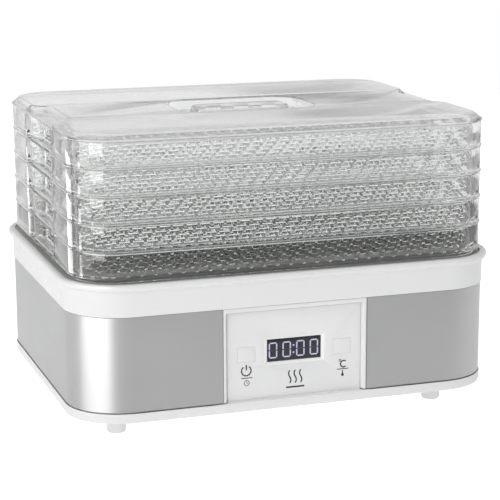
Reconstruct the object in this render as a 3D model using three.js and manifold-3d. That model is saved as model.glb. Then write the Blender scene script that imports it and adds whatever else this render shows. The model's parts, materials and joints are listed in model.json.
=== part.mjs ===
// Food dehydrator: a steel-wrapped base with heater, fan and control panel, five stacking trays and a lid.
// Millimetres, +Z up. Origin: floor level, under the middle of the base. The control panel faces -Y.
import * as THREE from "three";
import { mergeVertices } from "three/addons/utils/BufferGeometryUtils.js";
import Module from "manifold-3d";

const wasm = await Module();
wasm.setup();

// ---- Driving dimensions ----

const GAP = 0.3; // clearance between neighbouring pieces
const TALL = 400; // long enough to cut right through anything

// Heights of the base, from the floor up
const PAN_Z = 17.3; // underside of the base pan
const BAND_Z = 25; // top of the pan's outer band, where the steel starts
const RIM_Z = 94.4; // underside of the top rim, where the steel ends
const LIP_Z = 113.3; // underside of the rolled lip
const LIP_TOP = 118;
const LEDGE_Z = 113.8; // ledge inside the rim that carries the air deck
const DECK_Z = 116.9; // top of the air deck, which the lowest tray stands on

// Half sizes in X and Y and the corner radius of each outline
const STEEL = [160, 126.8, 40.2];
const PAN = [160.7, 127.5, 41];
const RIM = [160.8, 127.6, 41.1];
const LIP = [163.8, 130.9, 44];
const LIP_INSIDE = [158.5, 125.7, 38.8];
const INNER_LIP = [158.7, 125.5, 39]; // upstands inside the steel, on the pan and on the rim
const STEEL_WALL = 0.8;
const SHELL_WALL = 1.8;

// Trays and lid
const TRAY_COUNT = 5;
const TRAY_PITCH = 19.2;
const TRAY_Z = 120.2; // foot bead of the lowest tray
const BEAD = [157.3, 122.8, 32.8];
const TRAY_WALL = [156, 121.5, 31.5];
const TRAY_SKIRT = [153.5, 119, 29]; // nests inside the tray below
const FLOOR_THICK = 1.8;
const SKIRT_DEPTH = 3;
const WAIST_DEPTH = 11.5; // finger recess in each side wall
const WAIST_MOUTH = 48;
const WAIST_CURVE = 22;
const LID_TOP = [151.5, 118.8, 28.5];
const LID_HEIGHT = 5.3;
const WELL = [55.5, 37.5, 22];
const WELL_DEPTH = 8;
const GRIP = [38, 13, 8];

// Control panel, in the gap of the steel
const PANEL_X = 54.5;
const PANEL_Y = -126.9;
const FASCIA_Y = -123.8;
const BOARD_Y = -112.9;
const DISPLAY = { x: 20.6, low: 51.4, high: 68.1 };
const BUTTON = { x: 36.65, z: 58.7, width: 13.5, height: 11.3 };

// Air path
const DUCT_R = 60;
const FAN_Z = 67;
const MOTOR_Z = 33.6;
const MOTOR_TOP = 58;
const SHAFT_R = 1.5;

// Fixings
const FOOT_AT = [124, 88];
const POST_AT = [138, 104];
const DECK_SCREW_AT = [135.5, 60];
const BOARD_SCREW_AT = [44, 20]; // from the middle of the control board
const BRACKET_X = 60;
const CORD_AT = [110, 48]; // X and Z of the bush in the back of the steel

// ---- Solids ----

function solidOf(geometry) {
  geometry.deleteAttribute("normal");
  geometry.deleteAttribute("uv");
  const merged = mergeVertices(geometry, 1e-4);
  const mesh = new wasm.Mesh({
    numProp: 3,
    vertProperties: new Float32Array(merged.attributes.position.array),
    triVerts: new Uint32Array(merged.index.array),
  });
  return new wasm.Manifold(mesh);
}

const union = (...solids) => solids.reduce((a, b) => a.add(b));
const cut = (solid, ...tools) => tools.reduce((a, b) => a.subtract(b), solid);

// The same solid at all four corners, mirrored in X and Y.
const CORNERS = [[-1, -1], [1, -1], [1, 1], [-1, 1]];
const atCorners = (solid, [x, y]) => CORNERS.map(([i, j]) => solid.translate([i * x, j * y, 0]));

// Skin between outlines with the same number of points, each given as [points, z], closed at both ends.
function loft(...rings) {
  const count = rings[0][0].length;
  const position = rings.flatMap(([points, z]) => points.flatMap((p) => [p.x, p.y, z]));
  const index = [];
  for (let k = 0; k + 1 < rings.length; k++)
    for (let i = 0; i < count; i++) {
      const a = k * count + i;
      const b = k * count + ((i + 1) % count);
      index.push(a, b, b + count, a, b + count, a + count);
    }
  const last = (rings.length - 1) * count;
  for (const [a, b, c] of THREE.ShapeUtils.triangulateShape(rings[0][0], [])) index.push(c, b, a);
  for (const [a, b, c] of THREE.ShapeUtils.triangulateShape(rings.at(-1)[0], []))
    index.push(last + a, last + b, last + c);
  const geometry = new THREE.BufferGeometry();
  geometry.setAttribute("position", new THREE.Float32BufferAttribute(position, 3));
  geometry.setIndex(index);
  return solidOf(geometry);
}

const prism = (points, z0, z1) => loft([points, z0], [points, z1]);

// Rounded rectangle of half sizes a and b, as a ring of points.
function rounded([a, b, r], segments = 3) {
  const path = new THREE.Path();
  path.moveTo(a, -b + r);
  path.lineTo(a, b - r);
  path.absarc(a - r, b - r, r, 0, Math.PI / 2);
  path.absarc(-a + r, b - r, r, Math.PI / 2, Math.PI);
  path.absarc(-a + r, -b + r, r, Math.PI, 1.5 * Math.PI);
  path.absarc(a - r, -b + r, r, -Math.PI / 2, 0);
  return path.getPoints(segments).slice(0, -1);
}

// Rounded rectangle whose two side walls curve inwards over the middle of their length.
function waisted([a, b, r], segments = 3) {
  const inner = a - WAIST_DEPTH;
  const mouth = WAIST_MOUTH;
  const bend = WAIST_MOUTH - WAIST_CURVE / 2;
  const flat = WAIST_MOUTH - WAIST_CURVE;
  const path = new THREE.Path();
  path.moveTo(a, -mouth);
  path.bezierCurveTo(a, -bend, inner, -bend, inner, -flat);
  path.lineTo(inner, flat);
  path.bezierCurveTo(inner, bend, a, bend, a, mouth);
  path.absarc(a - r, b - r, r, 0, Math.PI / 2);
  path.absarc(-a + r, b - r, r, Math.PI / 2, Math.PI);
  path.lineTo(-a, mouth);
  path.bezierCurveTo(-a, bend, -inner, bend, -inner, flat);
  path.lineTo(-inner, -flat);
  path.bezierCurveTo(-inner, -bend, -a, -bend, -a, -mouth);
  path.absarc(-a + r, -b + r, r, Math.PI, 1.5 * Math.PI);
  path.absarc(a - r, -b + r, r, -Math.PI / 2, 0);
  path.lineTo(a, -mouth);
  return path.getPoints(segments).slice(0, -1);
}

// The outline moved inwards by a distance.
const inset = ([a, b, r], by) => [a - by, b - by, r - by];

function box(x0, x1, y0, y1, z0, z1) {
  const corners = [[x0, y0], [x1, y0], [x1, y1], [x0, y1]];
  return prism(corners.map(([x, y]) => new THREE.Vector2(x, y)), z0, z1);
}

// Turned about Z from a profile of [radius, z] points, listed upwards on the outside.
function turned(profile, segments = 24) {
  const closed = profile[0][0] > 0 ? [...profile, profile[0]] : profile;
  const points = closed.map(([r, z]) => new THREE.Vector2(r, z));
  return solidOf(new THREE.LatheGeometry(points, segments).rotateX(Math.PI / 2));
}

const disc = (r, z0, z1, segments = 16) => turned([[0, z0], [r, z0], [r, z1], [0, z1]], segments);

// Stands a solid turned about Z on its side, so that its Z runs towards +Y.
const alongY = (solid, x, z) => solid.rotate([-90, 0, 0]).translate([x, 0, z]);

// Pan-head screw with its tip down; head from z to z + thick.
const screw = (headR, thick, shankR, length, z) =>
  turned([[0, z - length], [shankR, z - length], [shankR, z], [headR, z],
    [headR, z + thick * 0.6], [headR * 0.8, z + thick], [0, z + thick]], 10);

// ---- Nodes ----

const group = new THREE.Group();

const MATERIALS = {
  whitePlastic: { color: 0xf2f2f1, roughness: 0.3, metalness: 0 },
  clearPlastic: { color: 0xdfe3e2, roughness: 0.08, metalness: 0, opacity: 0.35, transparent: true },
  steel: { color: 0xb4b4b5, roughness: 0.35, metalness: 1 },
  motorSteel: { color: 0x8d9093, roughness: 0.45, metalness: 1 },
  darkPlastic: { color: 0x17181c, roughness: 0.2, metalness: 0 },
  greyPlastic: { color: 0xa7aaa9, roughness: 0.5, metalness: 0 },
  deckPlastic: { color: 0x3a3b39, roughness: 0.45, metalness: 0 },
  board: { color: 0x2f6b45, roughness: 0.6, metalness: 0 },
  mica: { color: 0xc9b48c, roughness: 0.7, metalness: 0 },
};

function node(name, solid, material) {
  const raw = solid.getMesh();
  const geometry = new THREE.BufferGeometry();
  geometry.setAttribute("position", new THREE.Float32BufferAttribute(raw.vertProperties, 3));
  geometry.setIndex(new THREE.Uint32BufferAttribute(raw.triVerts, 1));
  geometry.computeVertexNormals();
  const mesh = new THREE.Mesh(geometry, new THREE.MeshStandardMaterial(MATERIALS[material]));
  mesh.name = name;
  group.add(mesh);
}

const numbered = (name, solids, material) =>
  solids.forEach((solid, i) => node(`${name}_${i + 1}`, solid, material));

// ---- Base pan, feet and base screws ----

const panelGap = (z0, z1) => box(-59, 59, -TALL, -110, z0, z1);

function basePan() {
  const floorTop = PAN_Z + 2.5;
  const outside = loft([rounded(inset(PAN, 1)), PAN_Z], [rounded(PAN), PAN_Z + 1], [rounded(PAN), BAND_Z]);
  const upstand = cut(prism(rounded(INNER_LIP), floorTop, BAND_Z + 6), panelGap(BAND_Z, TALL));
  const bracketPost = box(54, 66, -10, 10, floorTop - 1, 30.6);
  const boardPosts = [-114, -40].map((x) => box(x - 3, x + 3, -91, -85, floorTop - 1, 27.7));
  const screwBosses = atCorners(disc(7, floorTop - 1, 24, 12), POST_AT);
  const shell = cut(union(outside, upstand), prism(rounded(inset(INNER_LIP, SHELL_WALL)), floorTop, TALL));
  return cut(
    union(shell, bracketPost, bracketPost.rotate([0, 0, 180]), ...boardPosts, ...screwBosses),
    disc(50, 0, floorTop + 1, 24),
    ...atCorners(disc(3.3, 0, floorTop + 1, 12), FOOT_AT),
    ...atCorners(union(disc(4.2, 0, 21.3, 12), disc(2, 21, 25, 12)), POST_AT),
    ...[-BRACKET_X, BRACKET_X].map((x) => disc(1.9, 24, 31, 12).translate([x, 0, 0])),
  );
}

const foot = turned([[0, 0], [5.8, 0], [7, 1.2], [7, PAN_Z - GAP], [3, PAN_Z - GAP], [3, 21.5], [0, 21.5]], 16);

node("base_pan", basePan(), "whitePlastic");
numbered("foot", atCorners(foot, FOOT_AT), "whitePlastic");
numbered("base_screw", atCorners(screw(3.8, 2.4, 1.7, 20, 0).rotate([180, 0, 0]).translate([0, 0, 21]), POST_AT),
  "motorSteel");

// ---- Steel side band, open at the front ----

const cordHole = alongY(disc(6.2, 100, 140, 20), ...CORD_AT);
const steelRing = cut(
  prism(rounded(STEEL, 6), BAND_Z + GAP, RIM_Z - GAP),
  prism(rounded(inset(STEEL, STEEL_WALL), 6), 0, TALL),
);
node("side_band", cut(steelRing, box(-54.9, 54.9, -TALL, -100, 0, TALL), cordHole), "steel");

// ---- Top rim: lip, ledge for the air deck and the screw posts ----

function topRim() {
  const lip = loft(
    [rounded(inset(LIP, 2.4)), LIP_Z - 0.3],
    [rounded(inset(LIP, 0.6)), LIP_Z + 0.4],
    [rounded(LIP), LIP_Z + 1.6],
    [rounded(LIP), LIP_TOP - 1.5],
    [rounded(inset(LIP, 0.8)), LIP_TOP - 0.4],
    [rounded(inset(LIP, 2)), LIP_TOP],
  );
  const upstand = cut(prism(rounded(INNER_LIP), 88, RIM_Z + 1), panelGap(0, RIM_Z));
  const outside = union(lip, prism(rounded(RIM), RIM_Z, LIP_Z), upstand);
  const recess = loft([rounded(LIP_INSIDE), LEDGE_Z], [rounded(LIP_INSIDE), LIP_TOP - 1],
    [rounded(inset(LIP_INSIDE, -1)), LIP_TOP + 0.1]);
  const shell = cut(outside, recess, prism(rounded(inset(INNER_LIP, SHELL_WALL)), 0, LEDGE_Z - 2.4));
  const posts = atCorners(cut(disc(5, 24.3, LEDGE_Z - 1, 12), disc(1.9, 24, 44, 10)), POST_AT);
  return cut(
    union(shell, ...posts),
    prism(rounded([130, 97, 18]), 0, TALL),
    ...atCorners(disc(1.6, LEDGE_Z - 6, LEDGE_Z + 1, 12), DECK_SCREW_AT),
  );
}
node("top_rim", topRim(), "whitePlastic");

// ---- Air deck: a plate that fills the rim under the trays, with a round field of slots over the duct ----

// Cutters for rows of slots, split by a middle rib, that fill a circle.
function slotField(radius, z0, z1) {
  const slots = [];
  for (let row = -4; row <= 4; row++) {
    const y = (row * radius) / 4.7;
    const half = Math.sqrt(radius ** 2 - y ** 2);
    const width = radius / 16;
    slots.push(box(3, half, y - width, y + width, z0, z1), box(-half, -3, y - width, y + width, z0, z1));
  }
  return slots;
}

const airDeck = cut(prism(rounded(inset(LIP_INSIDE, GAP)), LEDGE_Z + GAP, DECK_Z), ...slotField(56, 100, 120),
  ...atCorners(disc(2, 100, 120, 10), DECK_SCREW_AT));
node("air_deck", airDeck, "deckPlastic");
numbered("deck_screw", atCorners(screw(3.2, 1.8, 1.3, 6.5, DECK_Z + GAP), DECK_SCREW_AT), "motorSteel");

// ---- Air duct, heater, fuse and temperature probe ----

node("air_duct", turned([[DUCT_R, 56], [62, 56], [62, LEDGE_Z - 2.3], [70, LEDGE_Z - 2.3], [70, LEDGE_Z],
  [DUCT_R, LEDGE_Z]], 24), "greyPlastic");

const micaArm = box(-59.6, 59.6, -0.75, 0.75, 80, 90);
node("heater_frame", union(micaArm, micaArm.rotate([0, 0, 90])), "mica");

function heaterCoil() {
  const turns = 3;
  const points = [];
  for (let i = 0; i <= turns * 12; i++) {
    const angle = (i / 12) * 2 * Math.PI;
    const radius = 22 + (30 * i) / (turns * 12);
    points.push(new THREE.Vector3(radius * Math.cos(angle), radius * Math.sin(angle), 91.8));
  }
  const wire = new THREE.Shape().absarc(0, 0, 1.2, 0, 2 * Math.PI);
  const extrudePath = new THREE.CatmullRomCurve3(points);
  return solidOf(new THREE.ExtrudeGeometry(wire,
    { steps: turns * 16, curveSegments: 2, bevelEnabled: false, extrudePath }));
}
node("heater_coil", heaterCoil(), "motorSteel");
node("thermal_fuse", disc(2.2, 30, 42, 12).rotate([0, 90, 0]).translate([0, 3.4, 85]), "steel");
node("temperature_probe", turned([[0, 101], [1.4, 101], [2, 102], [2, LEDGE_Z], [0, LEDGE_Z]], 12)
  .translate([-34, -35, 0]), "steel");

// ---- Intake grille, motor bracket, motor and fan ----

node("intake_grille", cut(disc(53.4, 20.1, 22.1, 24), ...slotField(46, 10, 30)), "greyPlastic");

const bracket = union(box(-68, 68, -9, 9, 30.9, 33.1), disc(19, 30.9, 33.1, 32));
node("motor_bracket",
  cut(bracket, ...[-BRACKET_X, BRACKET_X].map((x) => disc(2, 30, 34, 12).translate([x, 0, 0]))), "motorSteel");
numbered("bracket_screw", [-BRACKET_X, BRACKET_X].map((x) => screw(3.4, 2, 1.6, 9, 33.4).translate([x, 0, 0])),
  "motorSteel");

const motorBore = SHAFT_R + GAP;
node("fan_motor", turned([[0, MOTOR_Z], [17, MOTOR_Z], [17, MOTOR_TOP - 4], [8, MOTOR_TOP - 4],
  [8, MOTOR_TOP], [motorBore, MOTOR_TOP], [motorBore, 36], [0, 36]], 32), "motorSteel");
node("motor_shaft", disc(SHAFT_R, 36.3, 71.7, 16), "steel");

function fanRotor() {
  const blade = box(8, 55, -10, 10, -0.8, 0.8).rotate([32, 0, 0]).translate([0, 0, FAN_Z]);
  const blades = [0, 1, 2, 3, 4, 5, 6].map((i) => blade.rotate([0, 0, (i * 360) / 7]));
  const hub = turned([[0, FAN_Z - 6], [13, FAN_Z - 6], [13, FAN_Z + 5.5], [11.5, FAN_Z + 7], [0, FAN_Z + 7]], 28);
  return cut(union(hub, ...blades), disc(motorBore, 50, 72, 16));
}
node("fan_rotor", fanRotor(), "darkPlastic");

// ---- Control panel ----

// A block in the front of the panel, given by its X, Z and Y ranges.
const panelBlock = (x0, x1, z0, z1, y0, y1) => box(x0, x1, y0, y1, z0, z1);

// Opening that narrows from the front face inwards, as points in X and Z lofted along Y.
function taperedOpening(front, back, yFront, yBack) {
  const ring = ({ x, low, high }) =>
    [[-x, -high], [x, -high], [x, -low], [-x, -low]].map(([u, v]) => new THREE.Vector2(u, v));
  return loft([ring(front), yFront], [ring(back), yBack]).rotate([-90, 0, 0]);
}

function panelFrame() {
  const body = panelBlock(-PANEL_X, PANEL_X, BAND_Z + GAP, RIM_Z - GAP, PANEL_Y, -122.1);
  const tabs = panelBlock(-58, 58, BAND_Z + GAP, RIM_Z - GAP, -125.6, -123.9);
  const opening = taperedOpening({ x: 52.7, low: 0, high: 90.9 }, { x: 51.2, low: 0, high: 90.2 }, PANEL_Y, FASCIA_Y);
  return cut(union(body, tabs), opening, panelBlock(-52.7, 52.7, 0, 90.9, -140, PANEL_Y),
    panelBlock(-51.2, 51.2, 0, 90.2, FASCIA_Y, -100));
}

function panelFascia() {
  const plate = panelBlock(-50.9, 50.9, 25.5, 89.9, FASCIA_Y, -121.5);
  const flange = panelBlock(-53.5, 53.5, 27, 92, -121.8, -120.3);
  const post = alongY(cut(disc(2.5, -120.5, BOARD_Y - GAP, 12), disc(1.1, -118, -100, 12)), 0, 60);
  const posts = CORNERS.map(([i, j]) => post.translate([i * BOARD_SCREW_AT[0], 0, j * BOARD_SCREW_AT[1]]));
  const wide = { x: DISPLAY.x + 2.2, low: DISPLAY.low - 2.2, high: DISPLAY.high + 1.6 };
  const buttonHoles = [-1, 1].map((side) => panelBlock(side * BUTTON.x - BUTTON.width / 2,
    side * BUTTON.x + BUTTON.width / 2, BUTTON.z - BUTTON.height / 2, BUTTON.z + BUTTON.height / 2, -140, -100));
  return cut(union(plate, flange, ...posts), taperedOpening(wide, DISPLAY, FASCIA_Y - 0.01, FASCIA_Y + 1.2),
    panelBlock(-DISPLAY.x, DISPLAY.x, DISPLAY.low, DISPLAY.high, -140, -110), ...buttonHoles);
}

// Button cap with a retaining flange behind the fascia and a plunger that reaches its switch.
function buttonCap(side) {
  const block = (halfX, halfZ, y0, y1) => panelBlock(side * BUTTON.x - halfX, side * BUTTON.x + halfX,
    BUTTON.z - halfZ, BUTTON.z + halfZ, y0, y1);
  const halfX = BUTTON.width / 2;
  const halfZ = BUTTON.height / 2;
  return union(block(halfX - 0.2, halfZ - 0.2, FASCIA_Y, -119.8), block(halfX + 0.9, halfZ + 0.9, -120, -119),
    block(2, 2, -119.2, -117.6));
}

const switchBody = (side) => panelBlock(side * BUTTON.x - 3, side * BUTTON.x + 3, BUTTON.z - 3, BUTTON.z + 3,
  -116.5, BOARD_Y - GAP);

const boardHoles = CORNERS.map(([i, j]) =>
  alongY(disc(1.3, -120, -100, 12), i * BOARD_SCREW_AT[0], 60 + j * BOARD_SCREW_AT[1]));
const boardScrews = CORNERS.map(([i, j]) =>
  alongY(screw(2.5, 1.6, 0.9, 5.5, -111), i * BOARD_SCREW_AT[0], 60 + j * BOARD_SCREW_AT[1]));

node("panel_frame", panelFrame(), "whitePlastic");
node("panel_fascia", panelFascia(), "whitePlastic");
node("display_window", panelBlock(-DISPLAY.x + GAP, DISPLAY.x - GAP, DISPLAY.low + GAP, DISPLAY.high - GAP,
  FASCIA_Y + 1.2, -119.6), "darkPlastic");
node("display_module", panelBlock(-24, 24, 50, 69.5, -119.3, BOARD_Y - GAP), "darkPlastic");
node("time_button", buttonCap(-1), "whitePlastic");
node("temperature_button", buttonCap(1), "whitePlastic");
node("time_switch", switchBody(-1), "darkPlastic");
node("temperature_switch", switchBody(1), "darkPlastic");
node("control_board", cut(panelBlock(-48, 48, 36, 84, BOARD_Y, -111.3), ...boardHoles), "board");
numbered("board_screw", boardScrews, "motorSteel");

// ---- Power board and the ribbon cable to the control board ----

const powerBoard = union(
  box(-120, -34, -104, -72, 28, 29.6),
  box(-116, -97, -98, -83, 29.5, 44),
  box(-92, -70, -97, -79, 29.5, 45),
  box(-64, -52, -100, -80, 29.5, 39),
  disc(6, 29.5, 47).translate([-108, -78.5, 0]),
);
node("power_board", powerBoard, "board");

function ribbonCable() {
  const edge = new THREE.Shape();
  edge.moveTo(-111, 48);
  edge.bezierCurveTo(-103, 48, -103, 40, -101, 29.9);
  edge.lineTo(-100.2, 29.9);
  edge.bezierCurveTo(-102.2, 41, -102.2, 48.8, -111, 48.8);
  const strip = new THREE.ExtrudeGeometry(edge, { depth: 10, curveSegments: 5, bevelEnabled: false });
  // The edge is drawn in Y and Z: turn the drawing's X to Y, its Y to Z and its depth to X.
  strip.applyMatrix4(new THREE.Matrix4().makeBasis(
    new THREE.Vector3(0, 1, 0), new THREE.Vector3(0, 0, 1), new THREE.Vector3(1, 0, 0)));
  return solidOf(strip).translate([-48, 0, 0]);
}
node("ribbon_cable", ribbonCable(), "greyPlastic");

// ---- Cord bush in the back of the steel ----

const bush = turned([[3.4, 122.8], [8.2, 122.8], [8.2, 125.7], [5.9, 125.7], [5.9, 127.1],
  [8.5, 127.1], [8.5, 128.4], [7.3, 129.4], [3.4, 129.4]], 20);
node("cord_bush", alongY(bush, ...CORD_AT), "whitePlastic");

// ---- Trays ----

function tray(z) {
  const plate = prism(rounded(BEAD), 0, FLOOR_THICK);
  const wall = cut(prism(waisted(TRAY_WALL), 0, TRAY_PITCH - GAP),
    prism(waisted(inset(TRAY_WALL, 2)), FLOOR_THICK, TALL));
  const skirt = cut(prism(waisted(TRAY_SKIRT), -SKIRT_DEPTH, 1), prism(waisted(inset(TRAY_SKIRT, 1.8)), -TALL, 0));
  const slots = [];
  for (let row = 0; row < 14; row++) {
    const y = (row - 6.5) * 15.6;
    slots.push(box(4, 136, y - 4, y + 4, -1, 3), box(-136, -4, y - 4, y + 4, -1, 3));
  }
  return cut(union(plate, wall, skirt), ...slots).translate([0, 0, z]);
}
for (let k = 0; k < TRAY_COUNT; k++) node(`tray_${k + 1}`, tray(TRAY_Z + k * TRAY_PITCH), "clearPlastic");

// ---- Lid: bevelled crown, straight flange, locating skirt, and a well with a grip bar across it ----

function lid() {
  const flange = prism(rounded(BEAD), 0, 1.2);
  const crown = loft([waisted([156.2, 121.7, 31.7]), 0], [waisted([156.2, 121.7, 31.7]), 1.2],
    [waisted(LID_TOP), LID_HEIGHT]);
  const skirt = prism(waisted(TRAY_SKIRT), -SKIRT_DEPTH, 1);
  const hollow = loft([waisted(inset(TRAY_SKIRT, 1.8)), -5], [waisted(inset(TRAY_SKIRT, 1.8)), 0.6],
    [waisted(inset(LID_TOP, 2)), LID_HEIGHT - 1.9]);
  const wellFloor = LID_HEIGHT - WELL_DEPTH;
  const wellOutside = loft([rounded(inset(WELL, 3.5), 3), wellFloor - 2], [rounded(WELL, 3), LID_HEIGHT]);
  const wellInside = loft([rounded(inset(WELL, 5.3), 3), wellFloor], [rounded(inset(WELL, 2), 3), LID_HEIGHT + 0.1]);
  const grip = loft([rounded(GRIP, 3), wellFloor - 1], [rounded(inset(GRIP, 1.5), 3), LID_HEIGHT - 0.7]);
  const gripHollow = loft([rounded(inset(GRIP, 2), 3), wellFloor - 3],
    [rounded(inset(GRIP, 3.5), 3), LID_HEIGHT - 2.7]);
  const vents = [-22, 0, 22].map((x) => box(x - 7, x + 7, -3, 3, 0, 10));
  const shell = cut(union(flange, crown, skirt), hollow);
  return cut(union(cut(union(shell, wellOutside), wellInside), grip), gripHollow, ...vents);
}
node("lid", lid().translate([0, 0, TRAY_Z + TRAY_COUNT * TRAY_PITCH]), "clearPlastic");

export default group;
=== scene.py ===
"""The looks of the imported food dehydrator, in a white studio.

Lengths are in millimetres until MM scales them.
"""

import json
import math

import bmesh
import bpy
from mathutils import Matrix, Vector
from mathutils.geometry import tessellate_polygon

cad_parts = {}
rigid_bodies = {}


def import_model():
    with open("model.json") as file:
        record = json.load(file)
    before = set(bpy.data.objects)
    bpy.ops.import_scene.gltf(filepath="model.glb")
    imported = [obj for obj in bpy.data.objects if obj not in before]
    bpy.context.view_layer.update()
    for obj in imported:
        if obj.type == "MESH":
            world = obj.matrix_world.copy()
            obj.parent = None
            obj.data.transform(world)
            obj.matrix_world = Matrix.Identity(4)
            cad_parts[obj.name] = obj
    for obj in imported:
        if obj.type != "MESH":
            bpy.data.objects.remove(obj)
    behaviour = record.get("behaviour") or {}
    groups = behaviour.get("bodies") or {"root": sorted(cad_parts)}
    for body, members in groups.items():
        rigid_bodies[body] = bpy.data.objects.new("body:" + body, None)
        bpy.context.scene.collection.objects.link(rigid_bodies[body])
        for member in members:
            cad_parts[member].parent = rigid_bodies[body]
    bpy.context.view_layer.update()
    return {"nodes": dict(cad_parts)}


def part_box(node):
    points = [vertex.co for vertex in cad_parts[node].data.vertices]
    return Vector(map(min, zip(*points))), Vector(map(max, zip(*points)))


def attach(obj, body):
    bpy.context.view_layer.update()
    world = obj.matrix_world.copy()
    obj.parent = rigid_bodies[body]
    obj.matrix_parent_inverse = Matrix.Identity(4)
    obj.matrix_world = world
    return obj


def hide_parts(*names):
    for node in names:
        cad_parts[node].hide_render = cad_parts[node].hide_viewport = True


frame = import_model()

MM = 0.001

# ---- Dimensions that the CAD boxes do not give ----

ARC_STEPS = 14  # steps round each corner of an outline
TURN_STEPS = 40  # sides of what is turned about an axis
SLOT_STEPS = 6  # steps round each end of a slot
WAIST_STEPS = 10  # steps along each S-curve of a finger recess
WAIST_DEPTH = 11.5
WAIST_MOUTH = 48.0  # half length of a recess, where it starts to curve in
WAIST_FLAT = 26.0  # half length of its straight part

RIM_CORNER = 41.1
RIM_WINDOW = (130, 97, 18)  # opening in the rim's ledge: half sizes and corner radius
STEEL_CORNER = 40.2
STEEL_WALL = 0.8
BUSH_HOLE = 6.2  # radius of the hole in the steel for the cord bush
BUSH_DRILL = (100, 140)  # how far back the tool for that hole starts and ends
PAN_CORNER = 41.0
INTAKE_RADIUS = 50
BRACKET_POST = (6, 10)  # half sizes
BRACKET_POSTS = (-60, 60)  # X of the posts under the motor bracket, which stand on the middle line
BRACKET_POST_TOP = 30.6
BOARD_POST = (3, 3)
BOARD_POSTS = ((-114, -88), (-40, -88))  # the posts under the power board
BOARD_POST_TOP = 27.7
SILL = (51, 1.6)  # half sizes of the sill that closes the gap under the fascia
DECK_CORNER = 38.5
DECK_GRILLE = 56  # radius of the round field of slots in the air deck
DECK_ROWS = range(-4, 5)
BEAD_CORNER = 32.8
TRAY_FLOOR = (151.7, 117.2, 27.2)  # inside of a tray's skirt: half sizes and corner radius
PANEL_GAP = 54.9  # half width of the gap in the steel for the control panel
INNER_GAP = 59  # half width of the gap behind the panel in the walls that stand inside the steel

SKIRT_DEPTH = 3.0  # how far the skirt of a tray or of the lid hangs below its foot bead
TRAY_RIBS = (-69, 15, 26)  # X of the small upright ribs inside the front wall
RIB = (0.6, 0.8)  # half width of a rib, and how far it stands proud
LID_TOP_INSET = (5.8, 4.0)  # lid top from the bead outline, in X and in Y
LID_TOP_CORNER = 28.5
LID_HEIGHT = 5.3  # from the foot bead to the top
LID_SKIN = 1.9
WELL = (55.5, 37.5, 22.0)  # half sizes and corner radius of the well in the lid
WELL_DEPTH = 8.0
GRIP = (38.0, 13.0, 8.0)  # the same sizes of the grip bar in the well
VENTS = (-22, 0, 22)  # X of the slots through the grip bar
VENT = (7, 3)  # half length and half width of such a slot

FLOOR_THICK = 1.8
HOLE = (7.8, 4.4)  # holes in the tray floors, laid like bricks
HOLE_PITCH = (10.0, 6.4)
HOLE_ROWS = 36
GRID_EDGE = 1.2  # least distance from the grid to the inside of the wall

WELD = 1e-7  # metres between points of a new mesh that count as one
MERGE = 1e-6  # the same for a CAD solid
FLAT_ANGLE = 1  # degrees between faces of a CAD solid that count as one flat face
BEVEL_ANGLE = 34  # degrees at an edge, above which it is rounded
SHARP_ANGLE = 32  # degrees at an edge, above which it is shaded as sharp

# ---- Outlines ----


def corner(cx, cy, radius, start):
    """Points of a quarter circle about (cx, cy), anticlockwise from the start angle in degrees."""
    turns = [math.radians(start + 90.0 * k / ARC_STEPS) for k in range(ARC_STEPS + 1)]
    return [(cx + radius * math.cos(t), cy + radius * math.sin(t)) for t in turns]


def recess(half_x, depth):
    """Points of the right side wall, front to back, curving inwards by depth over its middle."""
    bend = (WAIST_MOUTH + WAIST_FLAT) / 2
    curve = []
    for k in range(WAIST_STEPS + 1):
        t = k / WAIST_STEPS
        inwards = 3 * t**2 - 2 * t**3
        along = WAIST_MOUTH * (1 - t) ** 3 + 3 * bend * t * (1 - t) + WAIST_FLAT * t**3
        curve.append((half_x - depth * inwards, -along))
    return curve + [(x, -y) for x, y in reversed(curve)]


def rib_points(half_y, proud, xs):
    """Points along the front wall, stepping inwards round each rib."""
    half = RIB[0]
    steps = ((-half, 0), (-half, 1), (half, 1), (half, 0))
    return [(x + u, -half_y + v * proud) for x in xs for u, v in steps]


def outline(half_x, half_y, radius, waist=None, gap=0.0, ribs=None):
    """Rounded rectangle, anticlockwise from the middle of the front, or from the edge of a gap there."""
    a, b = half_x - radius, half_y - radius
    side = [] if waist is None else recess(half_x, waist)
    points = [(gap, -half_y)]
    if ribs is not None:
        points += rib_points(half_y, ribs, [x for x in TRAY_RIBS if x > 0])
    points += corner(a, -b, radius, -90) + side + corner(a, b, radius, 0)
    points += corner(-a, b, radius, 90) + [(-x, -y) for x, y in side] + corner(-a, -b, radius, 180)
    if ribs is not None:
        points += rib_points(half_y, ribs, [x for x in TRAY_RIBS if x < 0])
    if gap:
        points.append((-gap, -half_y))
    return points


def inset(sizes, by):
    """The half sizes and corner radius of an outline moved inwards."""
    return tuple(size - by for size in sizes)


def circle(cx, cy, radius, steps=48):
    turns = [2 * math.pi * k / steps for k in range(steps)]
    return [(cx + radius * math.cos(t), cy + radius * math.sin(t)) for t in turns]


def rectangle(half_x, half_y, cx=0.0, cy=0.0):
    return [(cx + i * half_x, cy + j * half_y) for i, j in ((-1, -1), (1, -1), (1, 1), (-1, 1))]


# ---- Mesh building ----


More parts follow.
